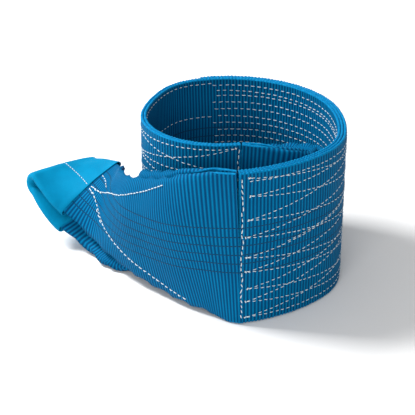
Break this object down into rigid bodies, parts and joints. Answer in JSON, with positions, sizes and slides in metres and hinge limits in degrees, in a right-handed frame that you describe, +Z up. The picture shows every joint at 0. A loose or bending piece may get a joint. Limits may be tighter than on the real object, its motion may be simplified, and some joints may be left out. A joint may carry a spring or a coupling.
{
  "type": "flat web sling",
  "caption": "Flat woven lifting sling in doubled webbing, stored as an upright coil, with a folded and sleeved loop eye at each end.",
  "frame": {"origin": "on the floor under the middle of the part's box, at the lower selvedges", "axes": "+Z up across the webbing's width, +X to the right and +Y away from whoever faces the outer eye's seam"},
  "size_m": [0.4961, 0.367, 0.24],
  "materials": {
    "webbing": "woven, satin",
    "sleeve": "smooth cloth",
    "thread": "satin"
  },
  "bodies": {
    "outer_wrap": {"lap_ply": "webbing", "outer_wrap_outer_ply": "webbing", "outer_wrap_inner_ply": "webbing", "outer_cross_seam": "thread"},
    "inner_wrap": {"inner_wrap_outer_ply": "webbing", "inner_wrap_inner_ply": "webbing", "inner_cross_seam": "thread"},
    "outer_eye": {"outer_eye_upper_leg": "webbing", "outer_eye_upper_leg_lower_flap": "webbing", "outer_eye_upper_leg_upper_flap": "webbing", "outer_eye_upper_leg_lower_fold_seam": "thread", "outer_eye_upper_leg_upper_fold_seam": "thread", "outer_eye_lower_leg": "webbing", "outer_eye_lower_leg_lower_flap": "webbing", "outer_eye_lower_leg_upper_flap": "webbing", "outer_eye_lower_leg_lower_fold_seam": "thread", "outer_eye_lower_leg_upper_fold_seam": "thread", "outer_eye_sleeve": "sleeve", "outer_eye_sleeve_seam": "thread"},
    "inner_eye": {"inner_eye_inside_leg": "webbing", "inner_eye_inside_leg_lower_flap": "webbing", "inner_eye_inside_leg_upper_flap": "webbing", "inner_eye_inside_leg_lower_fold_seam": "thread", "inner_eye_inside_leg_upper_fold_seam": "thread", "inner_eye_outside_leg": "webbing", "inner_eye_outside_leg_lower_flap": "webbing", "inner_eye_outside_leg_upper_flap": "webbing", "inner_eye_outside_leg_lower_fold_seam": "thread", "inner_eye_outside_leg_upper_fold_seam": "thread", "inner_eye_sleeve": "sleeve", "inner_eye_sleeve_seam": "thread"}
  },
  "joints": [
    {"name": "inner_wrap_swing", "type": "hinge", "parent": "outer_wrap", "child": "inner_wrap", "pos_m": [-0.05769, 0.02761, 0.12], "axis": [0, 0, -1], "range_deg": [0, 2]},
    {"name": "outer_eye_swing", "type": "hinge", "parent": "outer_wrap", "child": "outer_eye", "pos_m": [0.08765, -0.18249, 0.12], "axis": [0, 0, 1], "range_deg": [0, 35]},
    {"name": "inner_eye_swing", "type": "hinge", "parent": "inner_wrap", "child": "inner_eye", "pos_m": [0.08823, -0.07631, 0.12], "axis": [0, 0, -1], "range_deg": [0, 1]}
  ]
}
